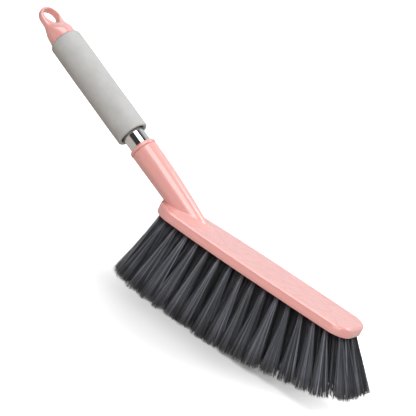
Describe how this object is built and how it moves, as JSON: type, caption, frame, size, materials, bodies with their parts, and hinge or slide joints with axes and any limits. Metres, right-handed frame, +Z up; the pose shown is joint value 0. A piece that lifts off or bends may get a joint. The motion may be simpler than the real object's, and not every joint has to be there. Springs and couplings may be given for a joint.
{
  "type": "long-handle cleaning brush",
  "caption": "Cleaning brush: stiff fanned bristles under a slim block, a rising tube handle with a soft grip, and a hanging loop cap that turns in the handle's end.",
  "frame": {"origin": "under the middle of the whole brush, in the plane of the trimmed bristle tips", "axes": "+X along the block from the handle end to the nose, +Z up, +Y across; the block lies level and the handle rises towards -X"},
  "size_m": [0.4098, 0.0744, 0.1565],
  "materials": {
    "pink_polypropylene": "satin moulded",
    "chromed_steel": "bright plated",
    "grey_foam": "matt fine-celled foam",
    "black_plastic": "satin",
    "dark_fibre": "satin filament",
    "anchor_wire": "galvanised"
  },
  "bodies": {
    "brush": {"brush_head": "pink_polypropylene", "neck_collar": "pink_polypropylene", "handle_tube": "chromed_steel", "grip_liner": "black_plastic", "grip_sleeve": "grey_foam", "tufts_front_row": "dark_fibre", "tufts_rear_row": "dark_fibre", "tufts_front_inner_row": "dark_fibre", "tufts_rear_inner_row": "dark_fibre", "tufts_heel_end": "dark_fibre", "tufts_nose_end": "dark_fibre", "anchor_wire_front_row": "anchor_wire", "anchor_wire_rear_row": "anchor_wire", "anchor_wire_front_inner_row": "anchor_wire", "anchor_wire_rear_inner_row": "anchor_wire", "anchor_wire_heel_end": "anchor_wire", "anchor_wire_nose_end": "anchor_wire"},
    "cap": {"hang_cap": "pink_polypropylene"}
  },
  "joints": [
    {"name": "cap_swivel", "type": "hinge", "parent": "brush", "child": "cap", "pos_m": [-0.17186, 0, 0.14131], "axis": [-0.9342, 0, 0.3567], "continuous": true}
  ]
}
